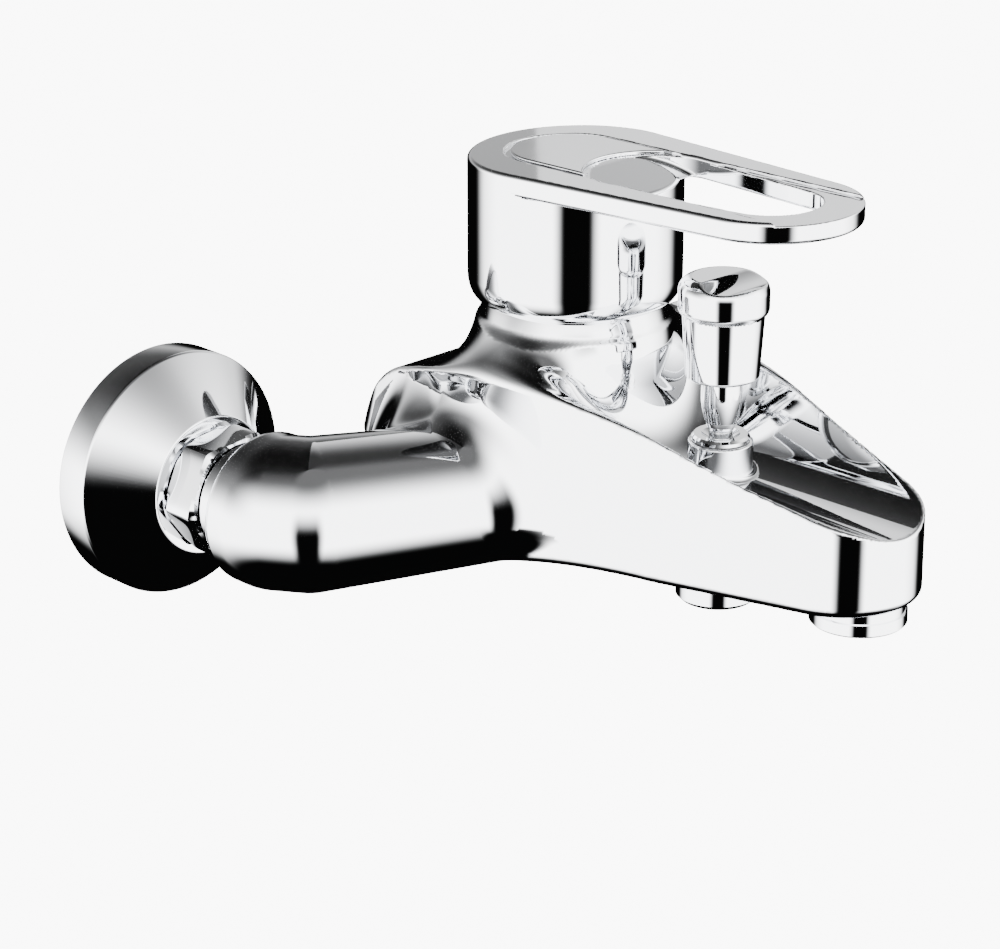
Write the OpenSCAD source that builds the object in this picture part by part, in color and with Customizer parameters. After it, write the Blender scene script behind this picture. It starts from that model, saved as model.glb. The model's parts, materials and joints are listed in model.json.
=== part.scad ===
// Wall mounted single lever bath and shower mixer, millimetres.
// +X is to the right for a person who faces the wall, +Y goes into the wall, +Z is up.
// The origin lies on the wall face, midway between the two water pipes in the wall.
// The faucet's own level, the middle of its inlets, lies below the pipes by the offset of the unions:
// every module is drawn about that level, and level() puts it into place.

/* [Wall connection] */
// Distance between the hot and the cold inlet
inlet_spacing = 150; // [140:1:165]
// Height of the in-wall pipes above the faucet inlets, taken up by the eccentric unions
union_offset = 6; // [0:0.5:7]
// Outer diameter of the G1/2 pipe thread
g12_d = 20.96; // [20.9:0.01:21]
// Outer diameter of the G3/4 pipe thread
g34_d = 26.44; // [26.4:0.01:26.5]
// Outer diameter of the nipple's thread in the faucet body
nipple_d = 20; // [19.5:0.1:20.2]
// Length of pipe thread that goes into the wall
wall_thread_l = 14; // [8:1:20]
// Diameter of the wall flange
flange_d = 64.8; // [56:0.2:76]
// Depth of the straight rim of the wall flange
flange_rim = 9.5; // [6:0.5:14]
// Depth of the whole wall flange
flange_depth = 21.5; // [18:0.5:22]
// Thickness of the flange metal
flange_wall = 1.4; // [0.8:0.1:2.5]
// Size of the union nut across its flats
nut_af = 30; // [29.5:0.5:38]
// Length of the union nut
nut_l = 11.2; // [10:0.1:16]

/* [Casting] */
// Distance of the inlet sockets' centre from the wall
arm_y = 48; // [46:0.5:56]
// Outer diameter of an arm at its inlet end
arm_d = 39.6; // [38:0.2:48]
// Outer diameter of an arm where it meets the body
arm_root_d = 36; // [33:0.2:40]
// Sideways step of the elbow at the inlet end of an arm
elbow_x = 4.4; // [3:0.1:8]
// Forward step of the elbow at the inlet end of an arm
elbow_y = 6.6; // [4:0.1:8]
// Sweep of the arms away from the wall
arm_sweep = 24.8; // [15:0.1:28]
// Half width of the body at its broadest place
body_half_w = 31.6; // [30:0.1:40]
// Distance of the cartridge axis from the wall
cart_y = 78.1; // [74:0.1:86]
// Diameter of the cartridge housing
cart_d = 40; // [34:0.5:42]
// Height of the broad upper edge of the body
rim_z = 33.6; // [33:0.2:36]
// Distance of the outlet end's centre from the wall
tip_y = 170.4; // [156:0.1:205]
// Diameter of the outlet end
tip_d = 37.4; // [36:0.2:44]
// Height of the upper edge at the outlet end
tip_z = 14.6; // [14:0.2:16]
// Height of the underside of the spout below the inlets
under_z = 9; // [9:0.1:12]
// Height of the floor of the dished top
dish_z = 13; // [12.5:0.1:14]
// Radius of the dished top
dish_r = 28.6; // [26:0.2:36]

/* [Lever] */
// Diameter of the lever's cap
cap_d = 54.8; // [54:0.2:62]
// Height of the lever's top above the inlets
lever_z = 85.2; // [84:0.2:100]
// Distance between the cap's centre and the round end of the lever
lever_reach = 66.4; // [58:0.2:85]
// Diameter of the round end of the lever
lever_tip_d = 43; // [38:0.2:48]
// Thickness of the lever plate
lever_t = 5.5; // [4.5:0.1:8]
// Rise of the lever towards its end
lever_rise = 1.7; // [0:0.1:4]
// Diameter of the loop's opening at its far end
loop_d = 25; // [18:0.2:30]
// How far the lever lifts
lift_angle = 20; // [12:1:20]
// Height of the lever's pivot
pivot_z = 36; // [35:0.2:37]

/* [Diverter] */
// Distance of the diverter from the wall
diverter_y = 129; // [126:0.2:134]
// Diameter of the diverter knob's rim
knob_d = 22.6; // [18:0.2:26]
// Lift of the diverter knob
diverter_lift = 6; // [4:0.1:6.2]
// Diameter of the diverter rod
rod_d = 6; // [5:0.1:6.4]

/* [Outlets] */
// Distance of the aerator from the wall
aerator_y = 175; // [160:0.2:208]
// Diameter of the aerator housing
aerator_d = 24; // [22:0.1:28]
// How far the aerator stands below the spout
aerator_drop = 3.4; // [2:0.1:8]
// How far the shower thread stands below the spout
shower_drop = 11.3; // [9:0.1:16]

/* [Fits] */
// Radial clearance of running fits
run_gap = 0.05; // [0.02:0.01:0.1]
// Radial clearance of threads and seated parts
seat_gap = 0.05; // [0.02:0.01:0.1]
// Gap between the cap and the ball-shaped neck
ball_gap = 0.3; // [0.25:0.05:0.5]

/* [Hidden] */
$fn = 96;

chrome = [0.86, 0.87, 0.88];
brass = [0.80, 0.66, 0.36];
rubber = [0.10, 0.10, 0.11];
plastic = [0.92, 0.92, 0.90];
ceramic = [0.95, 0.94, 0.90];
steel = [0.62, 0.63, 0.65];

inlet_x = inlet_spacing / 2;
arm_r = arm_d / 2;
arm_root_r = arm_root_d / 2;

// union nut stack, measured outwards from the wall
nut_start = 22.4;
nut_end = nut_start + nut_l;
nut_shoulder = 2.2;
nipple_flange_t = 1.8;
washer_t = 1.8;
union_end = nut_end - nut_shoulder - nipple_flange_t - washer_t;
union_bore_r = 7;
nipple_bore_r = 6.6;
nipple_neck_r = nipple_d / 2 - 0.4;
washer_r = g34_d / 2 - 1.2;
nipple_end = arm_y - 3;
socket_face = nut_end + 0.4;

// eccentric union body between its two threads
union_body_r = 13;
union_body_start = 2;
union_body_end = 12;

// cartridge stack
cart_r = cart_d / 2;
chamber_floor = 4;
seal_t = 0.6;
base_t = 3.5;
disc_t = 3.5;
carrier_t = 5.9;
base_z = chamber_floor + seal_t;
fixed_z = base_z + base_t;
moving_z = fixed_z + disc_t;
carrier_z = moving_z + disc_t;
ring_z = carrier_z + carrier_t + 0.2;
housing_top = 38;
housing_wall = 2.2;
fixed_r = cart_r - housing_wall - seat_gap;
ring_r = 13.4;
ring_top = 47.5;
ring_flange_r = cart_r - housing_wall - run_gap;
ring_flange_t = 4;
pin_r = 1.6;
stem_w = 8;
stem_top = 73;
stem_ball_r = 3.6;
stem_drop = 15.5;
socket_r = stem_ball_r + 0.12;
slide_travel = stem_drop * sin(lift_angle);
slide_room = 0.5;
moving_r = cart_r - housing_wall - slide_travel - slide_room;
carrier_floor = 1.5;
port_r = 3.8;
port_ring = 8.6;
outlet_port_r = 4.2;

// ball-shaped neck, nut and dome cover
ball_r = 26.1;
neck_top = 49.8;
nut_thread_r = cart_r + 0.9;
cnut_hex_top = 49.2;
dome_t = 1;
dome_hole_r = 14.5;
flare_r = 10.5;
flare_in = 25;
flare_tilt = 12;
flare_low = 12;
tip_bevel = 3;

// lever
cap_r = cap_d / 2;
lip_z = 47.85;
lip_r = 24.25;
lip_round = 6.4;
cavity_r = sqrt(pow(ball_r + ball_gap, 2) - pow(lip_z - pivot_z, 2));
cavity_top = lever_z - 7.4;
boss_z = pivot_z + ball_r + ball_gap + 0.2;
boss_r = 9;
stem_socket_top = stem_top + 0.6;
loop_start = 26;
loop_rear_r = 16;
panel_r = 14.4;
panel_rise = 0.3;
panel_back = 3;
groove_w = 1.1;
groove_deep = 0.8;

// side shape of the casting
arch_r = 165;
arch_y = 93;
tip_r = tip_d / 2;
tip_end = tip_y + tip_r;
body_back = 28.4;
belly_y = 88;
belly_r = 190;
haunch_r = 290;
corner_y = 32.6;
corner_r = 5;
rear_r = 14;
rear_y = body_back + rear_r;
rear_low_angle = -30;
belly_low_r = 16.8;
throat_r = 160;
cone_step = 0.12;
relief_l = 1;
relief_deep = 0.6;
spot_face_r = 16;
way_r = 6;
way_z = -4;

// diverter
boss_out_r = 8.2;
boss_top = 21.8;
bonnet_thread_r = 6.6;
bonnet_ring_r = 7.3;
bonnet_ring_t = 1.7;
bonnet_low = 12.5;
bonnet_top = boss_top + bonnet_ring_t;
rod_r = rod_d / 2;
valve_bore_r = 8.5;
valve_disc_r = 7.4;
lower_seat = -5;
seat_t = 1.2;
seat_hole_r = 5.6;
washer_thick = 1.2;
valve_t = 1.8;
disc_z = lower_seat + washer_thick + 0.02;
spring_low = disc_z + valve_t + washer_thick + 0.05;
seat_play = 0.38;
upper_seat = disc_z + valve_t + washer_thick + diverter_lift + seat_play;
spring_wire = 0.8;
spring_r = 4.3;
spring_turns = 5;
knob_low = 38.4;
knob_rim_low = 54.4;
knob_top = 64.1;
sleeve_low = 24.4;
sleeve_r = 5.1;
rod_top = 47;

// outlets
aerator_r = aerator_d / 2;
aerator_bottom = -under_z - aerator_drop;
aerator_bore_r = aerator_r - 0.45;
aerator_bore_top = 3;
channel_r = 2.3;
channel_z = 9.4;
supply_r = 3.6;
supply_z = -1.5;
shower_bottom = -under_z - shower_drop;
shower_bore_r = 5.8;

// ---------- shared shapes ----------

function arc_points(cx, cy, r, a0, a1, n) =
    [for (i = [0:n]) let (a = a0 + (a1 - a0) * i / n) [cx + r * cos(a), cy + r * sin(a)]];

function mirror_points(pts) = [for (i = [len(pts) - 1:-1:0]) [-pts[i][0], pts[i][1]]];

module tube(r_out, r_in, h) {
    difference() {
        cylinder(r = r_out, h = h);
        translate([0, 0, -1]) cylinder(r = r_in, h = h + 2);
    }
}

// a ring of round section that lies flat
module o_ring(r_mid, r_sec) {
    rotate_extrude() translate([r_mid, 0]) circle(r = r_sec, $fn = 32);
}

// places a shape so that its +Z axis points away from the wall, at one inlet
module at_inlet(side, y = 0, z = 0) {
    translate([side * inlet_x, -y, z]) rotate([90, 0, 0]) children();
}

// lowers the faucet from the pipes' level to its own
module level() {
    translate([0, 0, -union_offset]) children();
}

module on_cartridge_axis(z = 0) {
    translate([0, -cart_y, z]) children();
}

// ---------- casting ----------

// half plan of the body, from the outlet end to the back
function flank() = let (
        dx = belly_r - body_half_w,
        dy = tip_y - belly_y,
        a = atan2(dy, dx) - acos((belly_r - tip_r) / norm([dx, dy])),
        front = arc_points(0, -tip_y, tip_r, -90, -a, 16),
        belly = arc_points(-dx, -belly_y, belly_r, -a, 0, 8),
        b = asin((belly_y - corner_y) / haunch_r),
        haunch = arc_points(body_half_w - haunch_r, -belly_y, haunch_r, b / 5, b, 4),
        last = haunch[4],
        back = arc_points(last[0] - corner_r * cos(b), last[1] - corner_r * sin(b), corner_r, b, 90, 8)
    ) concat(front, belly, haunch, back);

module plan() {
    polygon(concat(flank(), mirror_points(flank())));
}

// side view of the body, y to the left of the wall and z up
module side_view() {
    slope_start = 40;
    a1 = asin(slope_start / arch_r);
    a0 = asin((arch_y - rear_y) / (arch_r - rear_r));
    rear_z = rim_z - arch_r + (arch_r - rear_r) * cos(a0);
    rear = arc_points(-rear_y, rear_z, rear_r, rear_low_angle, 90 - a0, 12);
    arch = arc_points(-arch_y, rim_z - arch_r, arch_r, 90 - a0, 90 + a1, 20);
    axis_y = arm_y + elbow_y + (inlet_x - elbow_x) * tan(arm_sweep) - 9;
    reach = throat_r + belly_low_r;
    turn = acos((throat_r + under_z) / reach);
    throat = arc_points(-axis_y - reach * sin(turn), -under_z - throat_r, throat_r, 90, 90 - turn, 8);
    under = arc_points(-axis_y, 0, belly_low_r, 270 - turn, 330, 12);
    polygon(concat(
        rear,
        arch,
        [[-tip_end - 2, tip_z]],
        [[-tip_end - 2, tip_bevel - under_z]],
        throat,
        under
    ));
}

module flare_profile() {
    flare_z = rim_z + 0.4 + flare_r;
    intersection() {
        polygon(concat(
            [[0, rim_z - flare_low]],
            [[0, flare_z]],
            arc_points(flare_in + flare_r, flare_z, flare_r, 180, 262, 14),
            [[flare_in + flare_r, rim_z - 4]],
            [[flare_in + flare_r, rim_z - flare_low]]
        ));
        square([60, 80]);
    }
}

module neck_ball() {
    intersection() {
        on_cartridge_axis(pivot_z) sphere(r = ball_r);
        on_cartridge_axis(rim_z - 6) cylinder(r = cap_r + 5, h = neck_top - rim_z + 6);
    }
}

// concave front foot of the neck, which runs down to the dished floor
module neck_foot() {
    foot_r = 17;
    foot_z = dish_z + foot_r + 1;
    rotate_extrude() polygon(concat(
        [[0, 0]],
        [[0, rim_z]],
        [[ball_r - 0.5, rim_z]],
        arc_points(ball_r + foot_r - 0.3, foot_z, foot_r, 180, 268, 12),
        [[ball_r + foot_r, 0]]
    ));
}

// a rounded start and a taper, about +X, so that the round start meets the taper without a step
module taper(r_start, r_end, run) {
    rotate([0, 90, 0]) rotate_extrude() intersection() {
        union() {
            circle(r = r_start);
            polygon([[0, 0], [r_start - cone_step, 0], [r_end, run], [0, run]]);
        }
        translate([0, -r_start - 1]) square([r_start + 2, run + r_start + 1]);
    }
}

// an arm goes out from its inlet over a short elbow and on to the body
module arm(side) {
    elbow_run = norm([elbow_x, elbow_y]);
    run = (inlet_x - elbow_x - 12) / cos(arm_sweep);
    elbow_a = atan2(elbow_y, elbow_x);
    translate([side * inlet_x, -arm_y, 0]) rotate([0, 0, side > 0 ? 180 + elbow_a : -elbow_a])
        taper(arm_r, arm_r - cone_step, elbow_run);
    translate([side * (inlet_x - elbow_x), -arm_y - elbow_y, 0])
        rotate([0, 0, side > 0 ? 180 + arm_sweep : -arm_sweep])
        taper(arm_r, arm_root_r - 0.6, run);
    at_inlet(side, socket_face) cylinder(r = nut_af / 2 - 0.5, h = arm_y - socket_face);
}

module casting_skin() {
    difference() {
        intersection() {
            translate([0, 0, -40]) linear_extrude(height = 100) plan();
            rotate([90, 0, 90]) translate([0, 0, -60]) linear_extrude(height = 120) side_view();
        }
        // dished top
        translate([0, -cart_y, dish_z + dish_r])
            rotate([90, 0, 0]) cylinder(r = dish_r, h = tip_end - cart_y + 10, $fn = 128);
    }
    // neck, its flare and its foot
    intersection() {
        translate([0, 0, -10]) linear_extrude(height = rim_z + 14) plan();
        union() {
            on_cartridge_axis() neck_foot();
            difference() {
                on_cartridge_axis(rim_z) rotate([-flare_tilt, 0, 0])
                    translate([0, 0, -rim_z]) rotate_extrude() flare_profile();
                translate([-60, -cart_y - 60 - 2, 0]) cube([120, 60, 80]);
            }
        }
    }
    neck_ball();
    arm(-1);
    arm(1);
    // boss that takes the diverter bonnet
    translate([0, -diverter_y, 0]) {
        cylinder(r = boss_out_r, h = boss_top);
        translate([0, 0, dish_z - 1]) cylinder(r1 = boss_out_r + 2, r2 = boss_out_r, h = 3);
    }
}

module water_ways() {
    for (side = [-1, 1]) {
        // flat face of the inlet, its socket for the nipple, then the way along the arm
        at_inlet(side, -1) cylinder(r = arm_r + 6, h = socket_face + 1);
        at_inlet(side, socket_face - 1) cylinder(r = nipple_d / 2 + seat_gap, h = nipple_end - socket_face + 2);
        at_inlet(side, socket_face) cylinder(r = way_r + 1.5, h = arm_y - socket_face + 2);
        arm_way(side);
        translate([side * port_ring, -cart_y + 2, way_z]) cylinder(r = port_r, h = chamber_floor - way_z + 1);
    }
    // mixed water to the diverter
    translate([0, -cart_y - port_ring, supply_z]) cylinder(r = outlet_port_r, h = chamber_floor + 3);
    translate([0, -cart_y - port_ring + 3, supply_z]) rotate([90, 0, 0])
        cylinder(r = supply_r, h = diverter_y - cart_y - port_ring - 3 + 1);
}

// straight bore from the middle of an inlet socket to its cartridge port
module arm_way(side) {
    x0 = inlet_x;
    y0 = arm_y + 3;
    x1 = port_ring;
    y1 = cart_y - 2;
    run = sqrt(pow(x0 - x1, 2) + pow(y1 - y0, 2));
    a = atan2(y1 - y0, x0 - x1);
    translate([side * x0, -y0, way_z + 2])
        rotate([0, 0, side > 0 ? 180 + a : -a])
        rotate([0, 90 + atan(2 / run), 0])
        cylinder(r = way_r, h = run + 2);
}

module faucet_body() {
    color(chrome) difference() {
        casting_skin();
        water_ways();
        // cartridge chamber and the thread above it
        on_cartridge_axis(chamber_floor) cylinder(r = cart_r + seat_gap, h = 60);
        on_cartridge_axis(housing_top) cylinder(r = nut_thread_r + seat_gap, h = 60);
        // diverter: lower bore, upper seat, bonnet thread
        translate([0, -diverter_y, -under_z - 1])
            cylinder(r = valve_bore_r + seat_gap, h = upper_seat + under_z + 1);
        translate([0, -diverter_y, 0]) cylinder(r = seat_hole_r, h = 20);
        translate([0, -diverter_y, upper_seat + seat_t]) cylinder(r = bonnet_thread_r + seat_gap, h = 40);
        translate([0, -diverter_y, -under_z - 5]) cylinder(r = spot_face_r, h = 5);
        // channel to the aerator and the aerator's bore
        translate([0, -diverter_y, channel_z]) rotate([90, 0, 0])
            cylinder(r = channel_r, h = aerator_y - diverter_y);
        translate([0, -aerator_y, 0]) cylinder(r = 4.5, h = channel_z + 0.6);
        translate([0, -aerator_y, -under_z - 1])
            cylinder(r = aerator_bore_r + seat_gap, h = aerator_bore_top + under_z + 1);
    }
}

// ---------- wall connection ----------

module wall_union(side) {
    color(brass) difference() {
        union() {
            at_inlet(side, -wall_thread_l, union_offset)
                cylinder(r = g12_d / 2, h = wall_thread_l - relief_l);
            at_inlet(side, -relief_l - 1, union_offset)
                cylinder(r = g12_d / 2 - relief_deep, h = relief_l + union_body_start + 2);
            at_inlet(side, union_body_start, union_offset / 2)
                cylinder(r = union_body_r - 0.4, h = union_body_end - union_body_start);
            at_inlet(side, union_body_start + 5) cylinder(r = g34_d / 2 - 0.2, h = union_end - union_body_start - 5);
            at_inlet(side, union_body_end) cylinder(r = g34_d / 2 - seat_gap, h = union_end - union_body_end);
        }
        at_inlet(side, -wall_thread_l - 1, union_offset)
            cylinder(r = union_bore_r, h = wall_thread_l + union_body_end - 2);
        at_inlet(side, union_body_start + 2) cylinder(r = union_bore_r, h = union_end);
    }
}

module wall_flange(side) {
    r = flange_d / 2;
    lip = nut_af / 2 + 3.4;
    hole = g34_d / 2 + seat_gap;
    color(chrome) at_inlet(side) rotate_extrude() polygon([
        [r - flange_wall, 0],
        [r - 0.3, 0],
        [r, 0.3],
        [r, flange_rim],
        [lip, flange_depth],
        [lip - 1.2, flange_depth + 0.3],
        [hole, flange_depth + 0.3],
        [hole, flange_depth - 5],
        [hole + 1.8, flange_depth - 5],
        [hole + 1.8, flange_depth - 1.6],
        [lip - 1.4, flange_depth - 1.6],
        [r - flange_wall, flange_rim - 0.6]
    ]);
}

module union_nut(side) {
    corner_r = nut_af / sqrt(3);
    cham = 1.1;
    color(chrome) difference() {
        intersection() {
            at_inlet(side, nut_start) rotate([0, 0, 36.2 - 30]) cylinder(r = corner_r, h = nut_l, $fn = 6);
            at_inlet(side, nut_start) rotate_extrude() polygon([
                [0, 0],
                [corner_r - cham, 0],
                [corner_r, cham * 0.6],
                [corner_r, nut_l - cham * 0.6],
                [corner_r - cham, nut_l],
                [0, nut_l]
            ]);
        }
        at_inlet(side, nut_start - 1)
            cylinder(r = g34_d / 2, h = nut_l - nut_shoulder + 1);
        at_inlet(side, nut_start) cylinder(r = nipple_neck_r + seat_gap * 2, h = nut_l + 1);
    }
}

module inlet_nipple(side) {
    flange_y = nut_end - nut_shoulder - nipple_flange_t;
    color(brass) difference() {
        union() {
            at_inlet(side, flange_y) cylinder(r = washer_r, h = nipple_flange_t);
            at_inlet(side, flange_y) cylinder(r = nipple_neck_r, h = nipple_end - flange_y);
            at_inlet(side, socket_face + 0.4) cylinder(r = nipple_d / 2, h = nipple_end - socket_face - 0.4);
        }
        at_inlet(side, flange_y - 1) cylinder(r = nipple_bore_r, h = nipple_end - flange_y + 2);
        // socket for the hexagonal key that screws it in
        at_inlet(side, flange_y - 1) cylinder(r = 7.4, h = 5, $fn = 6);
    }
}

module filter_washer(side) {
    color(rubber) at_inlet(side, union_end) {
        tube(washer_r, union_bore_r + 0.5, washer_t);
        // strainer of crossed bars
        for (a = [0:45:135]) rotate([0, 0, a]) translate([-union_bore_r - 1, -0.25, 0.6])
            cube([2 * union_bore_r + 2, 0.5, 0.5]);
    }
}

// ---------- cartridge ----------

module port_holes(r_in, r_out, h) {
    for (side = [-1, 1]) translate([side * port_ring, 2, -1]) cylinder(r = r_in, h = h + 2);
    translate([0, -port_ring, -1]) cylinder(r = r_out, h = h + 2);
}

module cartridge_housing() {
    color(plastic) on_cartridge_axis() difference() {
        translate([0, 0, base_z]) cylinder(r = cart_r, h = housing_top - base_z);
        translate([0, 0, base_z - 1])
            cylinder(r = cart_r - housing_wall, h = ring_z + ring_flange_t + 0.15 - base_z + 1);
        cylinder(r = ring_r + run_gap, h = 60);
        // two slots that key it to the base
        for (side = [-1, 1]) translate([side * (cart_r - 1), 0, base_z]) cube([6, 5, 5], center = true);
    }
}

module cartridge_base() {
    color(plastic) on_cartridge_axis(base_z) difference() {
        cylinder(r = cart_r - housing_wall - seat_gap, h = base_t);
        port_holes(port_r, outlet_port_r, base_t);
        // seats of the port seals
        for (p = [[port_ring, 2, port_r], [-port_ring, 2, port_r], [0, -port_ring, outlet_port_r]])
            translate([p[0], p[1], -1]) cylinder(r = p[2] + 1.3, h = 1.7);
    }
}

module cartridge_port_seals() {
    color(rubber) on_cartridge_axis(chamber_floor)
        for (p = [[port_ring, 2, port_r], [-port_ring, 2, port_r], [0, -port_ring, outlet_port_r]])
            translate([p[0], p[1], 0.02]) tube(p[2] + 1.2, p[2] + 0.1, seal_t + 0.65);
}

module fixed_ceramic_disc() {
    color(ceramic) on_cartridge_axis(fixed_z) difference() {
        cylinder(r = fixed_r, h = disc_t);
        port_holes(port_r, outlet_port_r, disc_t);
    }
}

module moving_ceramic_disc() {
    color(ceramic) on_cartridge_axis(moving_z) difference() {
        cylinder(r = moving_r, h = disc_t);
        translate([0, -1, -1]) cylinder(r = 6.5, h = 3);
        // keys that the carrier drives
        for (side = [-1, 1]) translate([side * moving_r, 0, disc_t - 1]) cube([5, 5, 2.1], center = true);
    }
}

module disc_carrier() {
    color(plastic) on_cartridge_axis(carrier_z) difference() {
        union() {
            cylinder(r = moving_r, h = carrier_t);
            for (side = [-1, 1]) translate([side * (moving_r - 1.2), 0, -0.9]) cube([2, 4.4, 2], center = true);
        }
        translate([0, 0, carrier_floor]) cylinder(r = socket_r, h = carrier_t);
    }
}

module turning_ring() {
    slot_w = stem_w + 2 * run_gap;
    slot_l = 2 * (stem_w / 2 + (ring_top - pivot_z) * tan(lift_angle)) + 3;
    color(plastic) on_cartridge_axis() difference() {
        union() {
            translate([0, 0, ring_z]) cylinder(r = ring_flange_r, h = ring_flange_t);
            translate([0, 0, ring_z]) cylinder(r = ring_r, h = ring_top - ring_z);
        }
        // slot in which the stem tilts, open above and below the pin
        translate([-slot_w / 2, -slot_l / 2, ring_z - 1]) cube([slot_w, slot_l, ring_top - ring_z + 2]);
        translate([-ring_r - 1, 0, pivot_z]) rotate([0, 90, 0]) cylinder(r = pin_r + run_gap, h = 2 * ring_r + 2);
        translate([0, 0, ring_z + ring_flange_t + 3.5]) difference() {
            cylinder(r = ring_r + 2, h = 2.2);
            translate([0, 0, -1]) cylinder(r = ring_r - 1.5, h = 5);
        }
    }
}

module turning_ring_seal() {
    color(rubber) on_cartridge_axis(ring_z + ring_flange_t + 3.5 + 1.1) o_ring(ring_r - 0.72, 0.74);
}

module stem_pivot_pin() {
    color(steel) on_cartridge_axis(pivot_z) translate([-ring_r + 0.6, 0, 0])
        rotate([0, 90, 0]) cylinder(r = pin_r, h = 2 * ring_r - 1.2);
}

module control_stem() {
    color(brass) on_cartridge_axis() difference() {
        union() {
            intersection() {
                translate([-stem_w / 2, -stem_w / 2, pivot_z - 6]) cube([stem_w, stem_w, stem_top - pivot_z + 6]);
                translate([0, 0, pivot_z - 8]) cylinder(r = stem_w * 0.655, h = stem_top);
            }
            translate([0, 0, pivot_z - stem_drop]) cylinder(r = 2.7, h = 11);
            translate([0, 0, pivot_z - stem_drop]) sphere(r = stem_ball_r);
        }
        translate([-20, 0, pivot_z]) rotate([0, 90, 0]) cylinder(r = pin_r + run_gap, h = 40);
        // seat of the grub screw
        translate([0, stem_w / 2 - 0.8, stem_top - 5]) rotate([-90, 0, 0]) cylinder(r = 2.1, h = 6);
    }
}

module cartridge_nut() {
    hex_r = 20.4;
    color(brass) on_cartridge_axis() difference() {
        union() {
            translate([0, 0, housing_top]) cylinder(r = nut_thread_r, h = 7.5);
            translate([0, 0, housing_top]) cylinder(r = hex_r, h = cnut_hex_top - housing_top, $fn = 6);
        }
        translate([0, 0, housing_top - 1]) cylinder(r = ring_r + 0.5, h = 20);
    }
}

module dome_cover() {
    color(chrome) intersection() {
        on_cartridge_axis(pivot_z) difference() {
            sphere(r = ball_r);
            sphere(r = ball_r - dome_t);
            cylinder(r = dome_hole_r, h = 40);
        }
        on_cartridge_axis(neck_top + 0.02) cylinder(r = cap_r, h = 30);
    }
}

// ---------- lever ----------

// outline of the lever seen from above: two circles and their tangents
module lever_outline(r_cap, r_tip, reach) {
    a = asin((r_cap - r_tip) / reach);
    polygon(concat(
        arc_points(0, 0, r_cap, -a, 180 + a, 48),
        arc_points(0, -reach, r_tip, 180 + a, 360 - a, 36)
    ));
}

// outline of the loop's opening
module loop_outline(grow = 0) {
    r_end = loop_d / 2 + grow;
    r_start = loop_rear_r + grow;
    reach = lever_reach - 1.2 - loop_start;
    translate([0, -loop_start]) lever_outline(r_start, r_end, reach);
}

module lever_plate() {
    translate([0, 0, lever_z]) rotate([-lever_rise, 0, 0]) translate([0, 0, -lever_t])
        linear_extrude(height = lever_t) lever_outline(cap_r, lever_tip_d / 2, lever_reach);
}

module cap_skin() {
    intersection() {
        rotate_extrude() polygon(concat(
            [[0, lip_z]],
            [for (i = [0:8]) let (t = 90 * i / 8)
                [lip_r + (cap_r - lip_r) * sin(t), lip_z + lip_round * (1 - cos(t))]],
            [[cap_r, lever_z + 3]],
            [[0, lever_z + 3]]
        ));
        translate([0, 0, lever_z]) rotate([-lever_rise, 0, 0]) translate([-60, -60, -60]) cube([120, 120, 60]);
    }
}

module lever() {
    scoop_a = 17;
    color(chrome) on_cartridge_axis() difference() {
        union() {
            difference() {
                union() {
                    cap_skin();
                    lever_plate();
                }
                translate([0, 0, lip_z - 1]) cylinder(r = cavity_r, h = cavity_top - lip_z + 1);
            }
            translate([0, 0, boss_z]) cylinder(r = boss_r, h = cavity_top - boss_z + 1);
        }
        // square socket for the stem
        translate([-stem_w / 2 - run_gap, -stem_w / 2 - run_gap, boss_z - 1])
            cube([stem_w + 2 * run_gap, stem_w + 2 * run_gap, stem_socket_top - boss_z + 1]);
        // thread of the grub screw, through the back of the cap
        translate([0, 0, stem_top - 5]) rotate([-90, 0, 0]) cylinder(r = 2 + seat_gap, h = cap_r + 2);
        translate([0, cap_r - 3, stem_top - 5]) rotate([-90, 0, 0]) cylinder(r = 3.2 + seat_gap, h = 6);
        // opening of the loop, clear of the cap
        difference() {
            translate([0, 0, lever_z - 20]) linear_extrude(height = 40) loop_outline();
            cylinder(r = cap_r + 3, h = lever_z + 30);
        }
        // sloping scoop between the panel and the opening
        intersection() {
            translate([0, 0, lever_z - 20]) linear_extrude(height = 40) loop_outline();
            translate([0, -loop_start + loop_rear_r, lever_z + 0.3]) rotate([scoop_a, 0, 0])
                translate([-40, -60, 0]) cube([80, 60, 30]);
        }
        // seat of the panel with the groove round it
        translate([0, 0, lever_z]) rotate([-lever_rise, 0, 0]) translate([0, 0, -groove_deep])
            linear_extrude(height = 5) panel_outline(groove_w);
    }
}

module panel_outline(grow = 0) {
    r = panel_r + grow;
    difference() {
        lever_outline_panel(r);
        loop_outline(1.2 - grow * 0.5);
    }
}

module lever_outline_panel(r) {
    polygon(concat(
        arc_points(0, panel_back, r, 0, 180, 32),
        [[-r, -loop_start]],
        [[r, -loop_start]]
    ));
}

module lever_panel() {
    color(chrome) on_cartridge_axis() translate([0, 0, lever_z]) rotate([-lever_rise, 0, 0])
        translate([0, 0, -groove_deep + 0.02]) linear_extrude(height = groove_deep + panel_rise - 0.02)
        panel_outline(0);
}

module lever_grub_screw() {
    color(steel) on_cartridge_axis(stem_top - 5) translate([0, stem_w / 2 - 0.7, 0]) rotate([-90, 0, 0])
        difference() {
            cylinder(r = 2, h = 8);
            translate([0, 0, 5.6]) cylinder(r = 1.2, h = 4, $fn = 6);
        }
}

module screw_plug() {
    color([0.75, 0.76, 0.78]) on_cartridge_axis(stem_top - 5) translate([0, cap_r - 3 + 0.05, 0])
        rotate([-90, 0, 0]) cylinder(r = 3.2, h = 2.6);
}

// ---------- diverter ----------

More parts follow.
